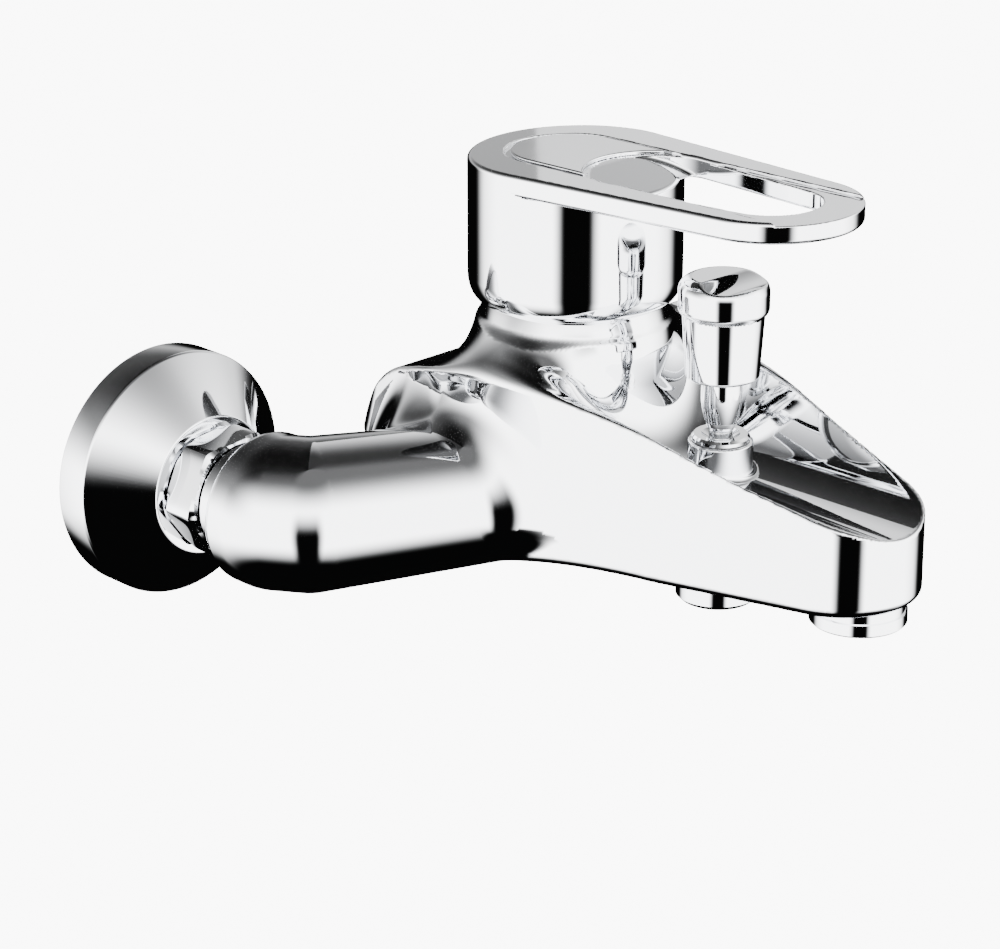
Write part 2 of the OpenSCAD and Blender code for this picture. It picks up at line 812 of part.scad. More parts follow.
module diverter_knob() {
    r = knob_d / 2;
    color(chrome) translate([0, -diverter_y, 0]) difference() {
        rotate_extrude() polygon(concat(
            [[0, sleeve_low]],
            [[rod_r + 0.3, sleeve_low]],
            [[sleeve_r, sleeve_low + 5]],
            [[sleeve_r, knob_low]],
            [[r * 0.78, knob_low]],
            [[r * 0.815, knob_low + 1]],
            [[r * 0.9, knob_rim_low]],
            [[r - 0.6, knob_rim_low]],
            arc_points(r - 1.6, knob_rim_low + 1.8, 1.6, -60, 40, 5),
            arc_points(r - 3.4, knob_top - 3.4, 3.4, 20, 80, 6),
            [[0, knob_top]]
        ));
        translate([0, 0, sleeve_low - 1]) cylinder(r = rod_r + seat_gap, h = rod_top - sleeve_low + 1);
        // slanted finger dish
        translate([0, -finger_dish_y, knob_top + 11.5]) rotate([0, 90, 0])
            translate([0, 0, -20]) cylinder(r = 13, h = 40);
    }
}

finger_dish_y = 7;

module diverter_rod() {
    foot = disc_z + valve_t + 0.02;
    color(steel) translate([0, -diverter_y, 0]) difference() {
        translate([0, 0, foot]) cylinder(r = rod_r, h = rod_top - foot - 0.1);
        translate([0, 0, disc_z]) cylinder(r = 1.5 + seat_gap, h = 9);
    }
}

module diverter_bonnet() {
    color(chrome) translate([0, -diverter_y, 0]) difference() {
        union() {
            translate([0, 0, bonnet_low]) cylinder(r = bonnet_thread_r, h = boss_top - bonnet_low + 0.1);
            translate([0, 0, boss_top + 0.3]) rotate_extrude() polygon([
                [0, 0],
                [bonnet_ring_r, 0],
                [bonnet_ring_r, bonnet_ring_t - 0.9],
                [bonnet_ring_r - 0.6, bonnet_ring_t - 0.3],
                [0, bonnet_ring_t - 0.3]
            ]);
            translate([0, 0, boss_top]) cylinder(r = bonnet_thread_r, h = 0.4);
        }
        cylinder(r = rod_r + run_gap, h = 60);
        // groove of the rod's ring
        translate([0, 0, 16]) cylinder(r = rod_r + 1.7, h = 1.9);
        translate([0, 0, bonnet_top - 1.2]) cylinder(r1 = rod_r, r2 = rod_r + 2, h = 1.3);
    }
}

module rod_o_ring() {
    color(rubber) translate([0, -diverter_y, 16.95]) o_ring(rod_r + 0.85, 0.8);
}

module bonnet_washer() {
    color(rubber) translate([0, -diverter_y, boss_top + 0.01]) tube(bonnet_ring_r - 0.1, bonnet_thread_r + 0.1, 0.28);
}

module diverter_valve_disc() {
    color(brass) translate([0, -diverter_y, disc_z]) tube(valve_disc_r, 1.5 + seat_gap, valve_t);
}

module lower_valve_washer() {
    color(rubber) translate([0, -diverter_y, lower_seat + 0.02]) tube(valve_disc_r, 3.1, washer_thick - 0.02);
}

module upper_valve_washer() {
    color(rubber) translate([0, -diverter_y, disc_z + valve_t]) tube(valve_disc_r, rod_r + seat_gap, washer_thick);
}

module valve_screw() {
    color(steel) translate([0, -diverter_y, 0]) {
        translate([0, 0, lower_seat]) cylinder(r = 3, h = washer_thick + 0.01);
        translate([0, 0, lower_seat]) cylinder(r = 1.5, h = 9);
    }
}

// open coil made of short straight pieces of wire that follow a helix
module diverter_spring() {
    h = bonnet_low - spring_low - spring_wire - 0.1;
    steps = 20;
    n = spring_turns * steps;
    function at(i) = [spring_r * cos(360 * i / steps), spring_r * sin(360 * i / steps),
        spring_low + spring_wire / 2 + h * i / n];
    // the section is a square standing on the spiral
    s = spring_wire / 2;
    function ring(i) = let (a = 360 * i / steps, c = at(i)) [
        [c[0] - s * cos(a), c[1] - s * sin(a), c[2] - s],
        [c[0] + s * cos(a), c[1] + s * sin(a), c[2] - s],
        [c[0] + s * cos(a), c[1] + s * sin(a), c[2] + s],
        [c[0] - s * cos(a), c[1] - s * sin(a), c[2] + s]
    ];
    pts = [for (i = [0:n]) each ring(i)];
    sides = [for (i = [0:n - 1], k = [0:3]) each [
        [4 * i + k, 4 * i + (k + 1) % 4, 4 * (i + 1) + (k + 1) % 4],
        [4 * i + k, 4 * (i + 1) + (k + 1) % 4, 4 * (i + 1) + k]
    ]];
    color(steel) translate([0, -diverter_y, 0])
        polyhedron(points = pts, faces = concat([[3, 2, 1, 0]], [[4 * n, 4 * n + 1, 4 * n + 2, 4 * n + 3]],
            [for (f = sides) [f[2], f[1], f[0]]]), convexity = 8);
}

// ---------- outlets ----------

module shower_nipple() {
    r = g12_d / 2;
    color(chrome) translate([0, -diverter_y, 0]) difference() {
        union() {
            translate([0, 0, -under_z]) cylinder(r = valve_bore_r, h = under_z + lower_seat);
            rotate_extrude() polygon([
                [0, -under_z - 0.1],
                [r, -under_z - 0.1],
                [r, shower_bottom + 1.2],
                [r - 1.2, shower_bottom],
                [0, shower_bottom]
            ]);
            translate([0, 0, -under_z - 0.2]) cylinder(r = valve_bore_r, h = 1);
        }
        translate([0, 0, shower_bottom - 1]) cylinder(r = shower_bore_r, h = 40);
        // groove of its ring
        translate([0, 0, -under_z + 1.2]) difference() {
            cylinder(r = valve_bore_r + 1, h = 1.6);
            translate([0, 0, -1]) cylinder(r = valve_bore_r - 1.2, h = 4);
        }
    }
}

module nipple_o_ring() {
    color(rubber) translate([0, -diverter_y, -under_z + 2]) o_ring(valve_bore_r - 0.58, 0.6);
}

module aerator_housing() {
    r = aerator_r;
    color(chrome) translate([0, -aerator_y, 0]) difference() {
        rotate_extrude() polygon([
            [0, aerator_bottom],
            [r - 0.5, aerator_bottom],
            [r, aerator_bottom + 0.5],
            [r, -under_z - 0.05],
            [aerator_bore_r, -under_z - 0.05],
            [aerator_bore_r, aerator_bore_top - 2],
            [0, aerator_bore_top - 2]
        ]);
        translate([0, 0, aerator_bottom - 1]) cylinder(r = r - 2.6, h = 2.2);
        translate([0, 0, aerator_bottom + 1]) cylinder(r = aerator_bore_r - 1.4, h = 30);
    }
}

module aerator_insert() {
    r = aerator_bore_r - 1.4 - seat_gap;
    cell = 2.4;
    color(plastic) translate([0, -aerator_y, aerator_bottom + 1.05]) difference() {
        cylinder(r = r, h = aerator_bore_top - 2 - aerator_bottom - 1.15);
        // square cells of the flow straightener
        for (i = [-3:3], j = [-3:3])
            if (norm([i, j]) * cell < r - 2.2)
                translate([i * cell - 0.85, j * cell - 0.85, -1]) cube([1.7, 1.7, 30]);
    }
}

module aerator_gasket() {
    color(rubber) translate([0, -aerator_y, aerator_bore_top - 1.95])
        tube(aerator_bore_r - 0.1, aerator_bore_r - 3, 1.9);
}

level() faucet_body();
level() wall_union(-1);  // left_wall_union
level() wall_flange(-1);  // left_wall_flange
level() union_nut(-1);  // left_union_nut
level() inlet_nipple(-1);  // left_inlet_nipple
level() filter_washer(-1);  // left_filter_washer
level() wall_union(1);  // right_wall_union
level() wall_flange(1);  // right_wall_flange
level() union_nut(1);  // right_union_nut
level() inlet_nipple(1);  // right_inlet_nipple
level() filter_washer(1);  // right_filter_washer
level() cartridge_housing();
level() cartridge_base();
level() cartridge_port_seals();
level() fixed_ceramic_disc();
level() moving_ceramic_disc();
level() disc_carrier();
level() turning_ring();
level() turning_ring_seal();
level() stem_pivot_pin();
level() control_stem();
level() cartridge_nut();
level() dome_cover();
level() lever();
level() lever_panel();
level() lever_grub_screw();
level() screw_plug();
level() diverter_knob();
level() diverter_rod();
level() diverter_bonnet();
level() rod_o_ring();
level() bonnet_washer();
level() diverter_valve_disc();
level() lower_valve_washer();
level() upper_valve_washer();
level() valve_screw();
level() diverter_spring();
level() shower_nipple();
level() nipple_o_ring();
level() aerator_housing();
level() aerator_insert();
level() aerator_gasket();
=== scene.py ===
"""Looks of a wall mounted bath and shower mixer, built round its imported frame.

Lengths inside the classes are millimetres about the faucet's own level, the middle of its inlets;
`to_frame` lowers them to the frame's level and turns them into metres.
+X is to the right of a person facing the wall, +Y goes into the wall, +Z is up.
"""

from __future__ import annotations

import json
import logging
import math
from dataclasses import dataclass, field
from enum import Enum
from typing import Callable

import bpy
import numpy as np
from mathutils import Matrix, Vector

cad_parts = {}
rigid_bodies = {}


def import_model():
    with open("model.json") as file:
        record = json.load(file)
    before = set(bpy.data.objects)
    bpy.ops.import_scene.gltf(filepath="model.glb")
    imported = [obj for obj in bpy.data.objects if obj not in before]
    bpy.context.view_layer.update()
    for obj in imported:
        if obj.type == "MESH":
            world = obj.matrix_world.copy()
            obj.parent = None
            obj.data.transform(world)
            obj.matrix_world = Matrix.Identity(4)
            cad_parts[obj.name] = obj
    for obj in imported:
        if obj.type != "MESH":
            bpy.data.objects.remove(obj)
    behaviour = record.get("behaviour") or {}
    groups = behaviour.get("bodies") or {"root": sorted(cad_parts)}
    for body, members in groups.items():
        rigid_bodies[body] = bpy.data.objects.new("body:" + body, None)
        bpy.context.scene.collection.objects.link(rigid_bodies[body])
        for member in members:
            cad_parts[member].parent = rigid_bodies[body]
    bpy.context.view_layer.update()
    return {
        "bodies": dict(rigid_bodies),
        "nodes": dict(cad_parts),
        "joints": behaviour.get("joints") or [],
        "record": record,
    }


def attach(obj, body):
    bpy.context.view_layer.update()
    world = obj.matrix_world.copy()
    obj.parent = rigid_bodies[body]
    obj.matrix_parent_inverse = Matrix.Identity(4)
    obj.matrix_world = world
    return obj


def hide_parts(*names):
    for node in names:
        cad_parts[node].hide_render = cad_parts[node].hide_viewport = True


log = logging.getLogger("faucet")

Array = np.ndarray
Field = Callable[[Array, Array, Array], Array]

LEVEL = -6.0  # the faucet's level below the pipes in the wall
MM = 0.001
FAR_INSIDE = -50.0  # a distance that never decides where a surface is


# ------------------------------------------------------------------ shape arithmetic


def cut(a: Array, b: Array, r: float) -> Array:
    """Keeps what is inside both shapes, with the edge between them rounded.

    The rounded corner is a quarter circle: min(-r, max(a, b)) + |max(r + (a, b), 0)|.

    Args:
        a: signed distance of the first shape.
        b: signed distance of the second shape.
        r: radius of the rounded edge.

    Returns:
        The signed distance of the common part.
    """
    corner = np.hypot(np.maximum(r + a, 0.0), np.maximum(r + b, 0.0))
    return np.minimum(-r, np.maximum(a, b)) + corner


def join(a: Array, b: Array, r: float | Array) -> Array:
    """Joins two shapes with a hollow fillet: max(r, min(a, b)) - |max(r - (a, b), 0)|.

    Args:
        a: signed distance of the first shape.
        b: signed distance of the second shape.
        r: radius of the fillet, a number or one value for each point.

    Returns:
        The signed distance of both shapes together.
    """
    corner = np.hypot(np.maximum(r - a, 0.0), np.maximum(r - b, 0.0))
    return np.maximum(r, np.minimum(a, b)) - corner


def blend(value: Array, low: float, high: float) -> Array:
    """A smooth step from 0 at low to 1 at high: 3 t^2 - 2 t^3."""
    t = np.clip((value - low) / (high - low), 0.0, 1.0)
    return t * t * (3.0 - 2.0 * t)


def two_circle_outline(x: Array, y: Array, r_back: float, r_front: float, reach: float) -> Array:
    """Distance to the outline of two circles and their common tangents.

    The back circle is at the origin, the front one at (0, -reach). Beyond the tangent points the
    distance is to a circle, between them to the tangent line.

    Args:
        x: place across the outline.
        y: place along it, negative towards the front.
        r_back: radius of the back circle.
        r_front: radius of the front circle.
        reach: distance of the two centres.

    Returns:
        The signed distance in the plane.
    """
    ax = np.abs(x)
    s = (r_back - r_front) / reach
    c = math.sqrt(1.0 - s * s)
    along = -y * c - ax * s
    line = ax * c - y * s - r_back
    back = np.hypot(ax, y) - r_back
    front = np.hypot(ax, y + reach) - r_front
    return np.where(along < 0.0, back, np.where(along > reach * c, front, line))


def taper_between(
    x: Array, y: Array, z: Array, a: tuple, b: tuple, r_a: float, r_b: float
) -> Array:
    """Distance to a round-ended taper in the level plane: |p - nearest of a-b| - radius there.

    Args:
        x: place across the wall.
        y: place towards the wall.
        z: height.
        a: start of the taper's axis, as (x, y).
        b: end of the taper's axis, as (x, y).
        r_a: radius at the start.
        r_b: radius at the end.

    Returns:
        The signed distance.
    """
    dx, dy = b[0] - a[0], b[1] - a[1]
    t = np.clip(((x - a[0]) * dx + (y - a[1]) * dy) / (dx * dx + dy * dy), 0.0, 1.0)
    flat = np.hypot(x - a[0] - t * dx, y - a[1] - t * dy)
    return np.hypot(flat, z) - (r_a + t * (r_b - r_a))


def slopes(shape: Field, p: Array, step: float = 0.02) -> Array:
    """Gradient of a shape's distance at points, by central differences of 2 * step."""
    g = np.empty_like(p)
    for k in range(3):
        d = np.zeros(3)
        d[k] = step
        up, low = p + d, p - d
        g[:, k] = (shape(*up.T) - shape(*low.T)) / (2.0 * step)
    return g


# ------------------------------------------------------------------ meshes


@dataclass
class Skin:
    """A mesh before it goes to Blender: points in millimetres, faces, and point normals."""

    points: Array
    quads: Array
    normals: Array | None = None


def to_frame(points: Array) -> Array:
    """Turns millimetres about the faucet's level into metres of the frame."""
    return (points + np.array([0.0, 0.0, LEVEL])) * MM


def add_piece(
    name: str, skin: Skin, finish: bpy.types.Material, sharp_deg: float | None = None
) -> bpy.types.Object:
    """Makes a Blender object of a skin.

    Args:
        name: the object's name.
        skin: its points, faces and, if known, exact normals.
        finish: the material of the whole piece.
        sharp_deg: edges that turn by more than this angle stay sharp.

    Returns:
        The new object, at the origin.
    """
    mesh = bpy.data.meshes.new(name)
    points = to_frame(skin.points)
    mesh.from_pydata(points.tolist(), [], skin.quads.tolist())
    mesh.update()
    mesh.polygons.foreach_set("use_smooth", np.ones(len(mesh.polygons), bool))
    if skin.normals is not None:
        mesh.normals_split_custom_set_from_vertices(skin.normals.tolist())
    elif sharp_deg is not None:
        mesh.set_sharp_from_angle(angle=math.radians(sharp_deg))
    mesh.materials.append(finish)
    piece = bpy.data.objects.new(name, mesh)
    bpy.context.scene.collection.objects.link(piece)
    return piece


def steps(low: float, high: float, pitch: float) -> Array:
    """Even places from low to high, no further apart than the pitch."""
    return np.linspace(low, high, int(math.ceil((high - low) / pitch)) + 1)


class Casting:
    """Turns a signed distance into a closed skin.

    A cell of the grid that the surface crosses gets one point, the mean of the crossings on its
    edges. Each grid edge that the surface crosses gets one face through its four cells. The points
    then slide along the slope of the distance until they lie on the surface.
    """

    def __init__(self, xs: Array, ys: Array, zs: Array) -> None:
        """Keeps the grid's places along the three axes."""
        self.axes = (xs, ys, zs)

    def skin(self, shape: Field, slides: int = 4) -> Skin:
        """Works out the skin of a shape.

        Args:
            shape: the signed distance, negative inside.
            slides: how often the points slide onto the surface.

        Returns:
            The skin with exact normals.
        """
        xs, ys, zs = self.axes
        v = shape(
            xs[:, None, None].astype(np.float32),
            ys[None, :, None].astype(np.float32),
            zs[None, None, :].astype(np.float32),
        )
        v = np.broadcast_to(v, (len(xs), len(ys), len(zs))).astype(np.float32)
        inside = v < 0.0
        count = np.zeros(tuple(n - 1 for n in v.shape), np.int8)
        corners = [(i, j, k) for i in (0, 1) for j in (0, 1) for k in (0, 1)]
        for i, j, k in corners:
            count += inside[i : i - 1 or None, j : j - 1 or None, k : k - 1 or None]
        cells = np.argwhere((count > 0) & (count < 8))
        index = np.full(count.shape, -1, np.int64)
        index[tuple(cells.T)] = np.arange(len(cells))
        total = np.zeros((len(cells), 3))
        hits = np.zeros((len(cells), 1))
        for a in corners:
            for axis in range(3):
                if a[axis]:
                    continue
                b = tuple(1 if n == axis else a[n] for n in range(3))
                ca, cb = cells + a, cells + b
                va, vb = v[tuple(ca.T)], v[tuple(cb.T)]
                crossed = (va < 0.0) != (vb < 0.0)
                t = np.where(crossed, va / np.where(crossed, va - vb, 1.0), 0.0)[:, None]
                pa = np.stack([self.axes[n][ca[:, n]] for n in range(3)], axis=1)
                pb = np.stack([self.axes[n][cb[:, n]] for n in range(3)], axis=1)
                total += np.where(crossed[:, None], pa + t * (pb - pa), 0.0)
                hits += crossed[:, None]
        points = total / hits
        faces = []
        for axis in range(3):
            one, two = [n for n in range(3) if n != axis]
            low = [slice(None)] * 3
            high = [slice(None)] * 3
            low[axis], high[axis] = slice(0, -1), slice(1, None)
            cross = inside[tuple(low)] != inside[tuple(high)]
            keep = [slice(None)] * 3
            keep[one], keep[two] = slice(1, -1), slice(1, -1)
            at = np.argwhere(cross[tuple(keep)])
            at[:, one] += 1
            at[:, two] += 1
            ring = []
            for d1, d2 in ((1, 1), (0, 1), (0, 0), (1, 0)):
                c = at.copy()
                c[:, one] -= d1
                c[:, two] -= d2
                ring.append(index[tuple(c.T)])
            quad = np.stack(ring, axis=1)
            # the way round depends on which end is inside, and on the axis
            turn = inside[tuple(at.T)] ^ (axis == 1)
            quad[~turn] = quad[~turn][:, ::-1]
            faces.append(quad)
        for _ in range(slides):
            g = slopes(shape, points)
            g2 = np.maximum((g * g).sum(1, keepdims=True), 0.05)
            move = -shape(*points.T)[:, None] * g / g2
            points = points + np.clip(move, -0.5, 0.5)
        g = slopes(shape, points)
        g /= np.maximum(np.linalg.norm(g, axis=1, keepdims=True), 1e-6)
        return Skin(points, np.concatenate(faces), g)


def turned(profile: list[tuple[float, float]], places: int) -> Skin:
    """A profile of (radius, height) carried round the Z axis.

    A point is (r cos a, r sin a, h). The profile is a closed ring: its last corner joins its first.
    It runs up the outside and back down the inside, so that the faces point outwards.

    Args:
        profile: the corners of the section, from the bottom of the outside to that of the inside.
        places: number of places round the axis.

    Returns:
        The closed skin.
    """
    row = np.array(profile)
    a = np.linspace(0.0, 2.0 * math.pi, places, endpoint=False)
    radius, height = row[:, :1], np.repeat(row[:, 1:], places, axis=1)
    grid = np.stack([radius * np.cos(a), radius * np.sin(a), height], axis=2)
    return Skin(grid.reshape(-1, 3), ring_faces(len(row), places))


def ring_faces(rows: int, places: int) -> Array:
    """Quads of a grid of rows by places that closes both ways, as a ring does."""
    r = np.arange(rows)[:, None]
    p = np.arange(places)[None, :]
    r2, p2 = (r + 1) % rows, (p + 1) % places
    return np.stack(
        [r * places + p, r * places + p2, r2 * places + p2, r2 * places + p], axis=2
    ).reshape(-1, 4)


def arc(
    cx: float, cy: float, r: float, start: float, end: float, n: int
) -> list[tuple[float, float]]:
    """Points of an arc in degrees, for a profile."""
    a = np.radians(np.linspace(start, end, n + 1))
    return list(zip((cx + r * np.cos(a)).tolist(), (cy + r * np.sin(a)).tolist()))


def stood(skin: Skin, at: tuple[float, float, float]) -> Skin:
    """Turns a skin made about the Z axis to point out of the wall, and moves it into place."""
    p = skin.points
    p = np.stack([p[:, 0], -p[:, 2], p[:, 1]], axis=1)
    return Skin(p + np.array(at), skin.quads, skin.normals)


# ------------------------------------------------------------------ finishes


class Tone(Enum):
    """The metals and plastics of the faucet, as linear colours."""

    CHROME = (0.83, 0.84, 0.86)
    PANEL = (0.80, 0.81, 0.83)
    BRASS = (0.76, 0.58, 0.26)
    STEEL = (0.56, 0.57, 0.58)
    RUBBER = (0.018, 0.018, 0.020)
    WHITE_PLASTIC = (0.78, 0.78, 0.75)
    CERAMIC = (0.84, 0.82, 0.76)


@dataclass(frozen=True)
class Finish:
    """A finish of one material: its colour, its gloss and the small marks in its surface."""

    name: str
    tone: Tone
    metallic: float
    roughness: float
    mark_scale: float
    mark_depth: float
    mark_spread: float = 0.02
    stretch: tuple[float, float, float] = (1.0, 1.0, 1.0)

    def make(self) -> bpy.types.Material:
        """Builds the material: noise on Object coordinates varies the gloss and a slight bump."""
        mat = bpy.data.materials.new(self.name)
        mat.use_nodes = True
        tree = mat.node_tree
        shader = tree.nodes["Principled BSDF"]
        shader.inputs["Base Color"].default_value = (*self.tone.value, 1.0)
        shader.inputs["Metallic"].default_value = self.metallic
        place = tree.nodes.new("ShaderNodeTexCoord")
        mapping = tree.nodes.new("ShaderNodeMapping")
        mapping.inputs["Scale"].default_value = self.stretch
        tree.links.new(place.outputs["Object"], mapping.inputs["Vector"])
        marks = tree.nodes.new("ShaderNodeTexNoise")
        marks.inputs["Scale"].default_value = self.mark_scale
        marks.inputs["Detail"].default_value = 4.0
        tree.links.new(mapping.outputs["Vector"], marks.inputs["Vector"])
        gloss = tree.nodes.new("ShaderNodeMapRange")
        gloss.inputs["To Min"].default_value = max(self.roughness - self.mark_spread, 0.0)
        gloss.inputs["To Max"].default_value = self.roughness + self.mark_spread
        tree.links.new(marks.outputs["Fac"], gloss.inputs["Value"])
        tree.links.new(gloss.outputs["Result"], shader.inputs["Roughness"])
        bump = tree.nodes.new("ShaderNodeBump")
        bump.inputs["Strength"].default_value = 1.0
        bump.inputs["Distance"].default_value = self.mark_depth * MM
        tree.links.new(marks.outputs["Fac"], bump.inputs["Height"])
        tree.links.new(bump.outputs["Normal"], shader.inputs["Normal"])
        return mat


POLISHED_CHROME = Finish("polished_chrome", Tone.CHROME, 1.0, 0.035, 60.0, 0.0015, 0.02)
PANEL_CHROME = Finish("panel_chrome", Tone.PANEL, 1.0, 0.05, 60.0, 0.0015, 0.02)
TURNED_BRASS = Finish("turned_brass", Tone.BRASS, 1.0, 0.28, 900.0, 0.01, 0.06, (1.0, 1.0, 8.0))
TURNED_STEEL = Finish("turned_steel", Tone.STEEL, 1.0, 0.22, 900.0, 0.008, 0.06, (1.0, 1.0, 8.0))
MOULDED_RUBBER = Finish("moulded_rubber", Tone.RUBBER, 0.0, 0.55, 1500.0, 0.01, 0.08)
MOULDED_PLASTIC = Finish("moulded_plastic", Tone.WHITE_PLASTIC, 0.0, 0.38, 1200.0, 0.004, 0.05)
LAPPED_CERAMIC = Finish("lapped_ceramic", Tone.CERAMIC, 0.0, 0.16, 800.0, 0.002, 0.03)


# ------------------------------------------------------------------ sub-assemblies


@dataclass
class FaucetBody:
    """The casting: a dished spout, a ball-shaped neck and two swept arms, joined by fillets."""

    inlet_x: float = 75.0
    arm_y: float = 48.0
    arm_r: float = 19.8
    arm_root_r: float = 17.4
    socket_y: float = 41.5
    socket_neck_r: float = 14.5
    elbow: tuple[float, float] = (4.4, 6.6)
    sweep_deg: float = 24.8
    half_w: float = 31.6
    belly_y: float = 88.0
    belly_r: float = 190.0
    haunch_r: float = 290.0
    back_y: float = 28.6
    corner_r: float = 5.0
    rear_r: float = 19.0
    shoulder: float = 0.26
    cart_y: float = 78.1
    rim_z: float = 33.6
    arch_y: float = 93.0
    arch_r: float = 165.0
    slope_start: float = 40.0
    tip_y: float = 170.4
    tip_r: float = 18.7
    under_z: float = 9.0
    belly_low_r: float = 16.8
    throat_r: float = 160.0
    tip_rise: float = 3.0
    dish_z: float = 13.0
    dish_r: float = 28.6
    ball_r: float = 26.1
    pivot_z: float = 36.0
    neck_top: float = 49.75
    diverter_y: float = 129.0
    aerator_y: float = 175.0
    valve_bore_r: float = 8.55
    bonnet_bore_r: float = 6.65
    seat_hole_r: float = 5.6
    upper_seat: float = 5.6
    seat_thick: float = 1.2
    boss_r: float = 8.2
    boss_z: float = 21.8
    mouth_r: float = 11.6
    mouth_top: float = 3.0
    arm_end_x: float = 12.0
    arm_inner_x: float = 52.0
    socket_tail: float = 14.0
    back_margin: float = 1.0
    shoulder_z: float = 24.0
    shoulder_tall: float = 20.0
    shoulder_y: tuple[float, float] = (-72.0, -44.0)
    heel_y: float = 62.6
    heel_slope: tuple[float, float] = (0.371, 0.929)
    neck_foot: float = 10.0
    neck_fillet: float = 13.75
    neck_fillet_front: float = 3.25
    room_z: tuple[float, float] = (35.0, 44.0)
    room_extra: float = 12.0
    fillet_low: float = 2.5
    fillet_above: float = 9.0
    fillet_above_z: tuple[float, float] = (-15.0, -2.0)
    fillet_back: float = 8.0
    fillet_back_y: tuple[float, float] = (-62.0, -46.0)
    fillet_back_z: tuple[float, float] = (-8.0, 8.0)
    top_edge: float = 1.0
    low_edge: float = 2.6
    heel_edge: float = 6.0
    dish_end: float = 5.0
    dish_edge: float = 0.8
    socket_edge: float = 2.2
    rim_edge: float = 0.3
    room_edge: float = 1.8
    boss_edge: float = 0.4
    boss_fillet: float = 1.6
    bore_edge: float = 0.25
    mouth_edge: float = 0.3
    box: tuple = ((-96.5, 96.5), (-190.6, -27.2), (-21.0, 50.6))
    pitch: float = 0.86
    quick_pitch: float = 1.6

    def plan(self, x: Array, y: Array) -> Array:
        """Distance to the outline seen from above: tip, flank line, belly arc, haunch and back."""
        ax = np.abs(x)
        dx, dy = self.belly_r - self.half_w, self.tip_y - self.belly_y
        a = math.atan2(dy, dx) - math.acos((self.belly_r - self.tip_r) / math.hypot(dx, dy))
        c, s = math.cos(a), math.sin(a)
        tip = np.hypot(ax, y + self.tip_y) - self.tip_r
        line = ax * c - (y + self.tip_y) * s - self.tip_r
        belly = np.hypot(ax + dx, y + self.belly_y) - self.belly_r
        haunch = np.hypot(ax + self.haunch_r - self.half_w, y + self.belly_y)
        haunch = haunch - self.haunch_r
        side = np.where(y + self.belly_y > 0.0, haunch, belly)
        side = np.where((ax + dx) * s + (y + self.belly_y) * c < 0.0, line, side)
        side = np.where(ax * s + (y + self.tip_y) * c < 0.0, tip, side)
        return cut(side, y + self.back_y, self.corner_r)

    def top(self, y: Array, z: Array) -> Array:
        """Distance to the top seen from the side: a rear circle, an arch, a slope to the tip."""
        a = math.asin(self.slope_start / self.arch_r)
        rear_y, inner = self.back_y + self.rear_r, self.arch_r - self.rear_r
        rear_s = (self.arch_y - rear_y) / inner
        rear_c = math.sqrt(1.0 - rear_s * rear_s)
        u, w = y + self.arch_y, z - self.rim_z + self.arch_r
        arch = np.hypot(u, w) - self.arch_r
        slope = -u * math.sin(a) + w * math.cos(a) - self.arch_r
        arch = np.where(-u * math.cos(a) - w * math.sin(a) > 0.0, slope, arch)
        u, w = u - inner * rear_s, w - inner * rear_c
        rear = np.where(w > 0.0, np.hypot(u, w), np.abs(u)) - self.rear_r
        return np.where((u * rear_c - w * rear_s > 0.0) & (u > 0.0), rear, arch)

    def underside(self, y: Array, z: Array) -> Array:
        """Distance to the underside: a round belly, a long hollow throat, a slope up to the tip."""
        reach = self.throat_r + self.belly_low_r
        turn_c = (self.throat_r + self.under_z) / reach
        turn_s = math.sqrt(1.0 - turn_c * turn_c)
        v = -(y + self.cart_y)
        flat_from = reach * turn_s
        belly = np.hypot(v, z) - self.belly_low_r
        throat = self.throat_r - np.hypot(v - flat_from, z + self.under_z + self.throat_r)
        rise = self.tip_rise / (self.tip_y + self.tip_r - self.cart_y - flat_from)
        flat = (v - flat_from) * rise - self.under_z - z
        belly = np.minimum(belly, -self.under_z - z)
        low = np.where(v * turn_c + z * turn_s > 0.0, throat, belly)
        low = np.where(v > flat_from, flat, low)
        rise_y, rise_z = self.heel_slope
        heel = (y + self.heel_y) * rise_y - (z + self.under_z) * rise_z
        return cut(low, heel, self.heel_edge)

    def arms(self, x: Array, y: Array, z: Array) -> Array:
        """Distance to the arms: a straight socket, a short elbow and a long taper on each side."""
        ax = np.abs(x)
        start = (self.inlet_x, -self.arm_y)
        bend = (self.inlet_x - self.elbow[0], -self.arm_y - self.elbow[1])
        run = bend[0] - self.arm_end_x
        end = (self.arm_end_x, bend[1] - run * math.tan(math.radians(self.sweep_deg)))
        mouth = (self.inlet_x, -self.socket_y)
        socket = taper_between(ax, y, z, mouth, start, self.arm_r, self.arm_r)
        elbow = taper_between(ax, y, z, start, bend, self.arm_r, self.arm_r)
        long = taper_between(ax, y, z, bend, end, self.arm_r, self.arm_root_r)
        arms = np.minimum(np.minimum(socket, elbow), long)
        arms = cut(arms, y + self.socket_y, self.socket_edge)
        neck = np.maximum(np.hypot(ax - self.inlet_x, z) - self.socket_neck_r, -y - self.arm_y)
        return np.minimum(arms, neck)

    def block(self, x: Array, y: Array, z: Array) -> Array:
        """Distance to the block: outline, top and underside, with the spout's dish taken out."""
        shoulder = self.shoulder * np.clip(self.shoulder_z - z, 0.0, self.shoulder_tall)
        shoulder = shoulder * blend(y, *self.shoulder_y)
        block = cut(self.plan(x, y) - shoulder, self.top(y, z), self.top_edge)
        block = cut(block, self.underside(y, z), self.low_edge)
        dish = np.hypot(x, z - self.dish_z - self.dish_r) - self.dish_r
        dish = cut(dish, y + self.cart_y, self.dish_end)
        return cut(block, -dish, self.dish_edge)

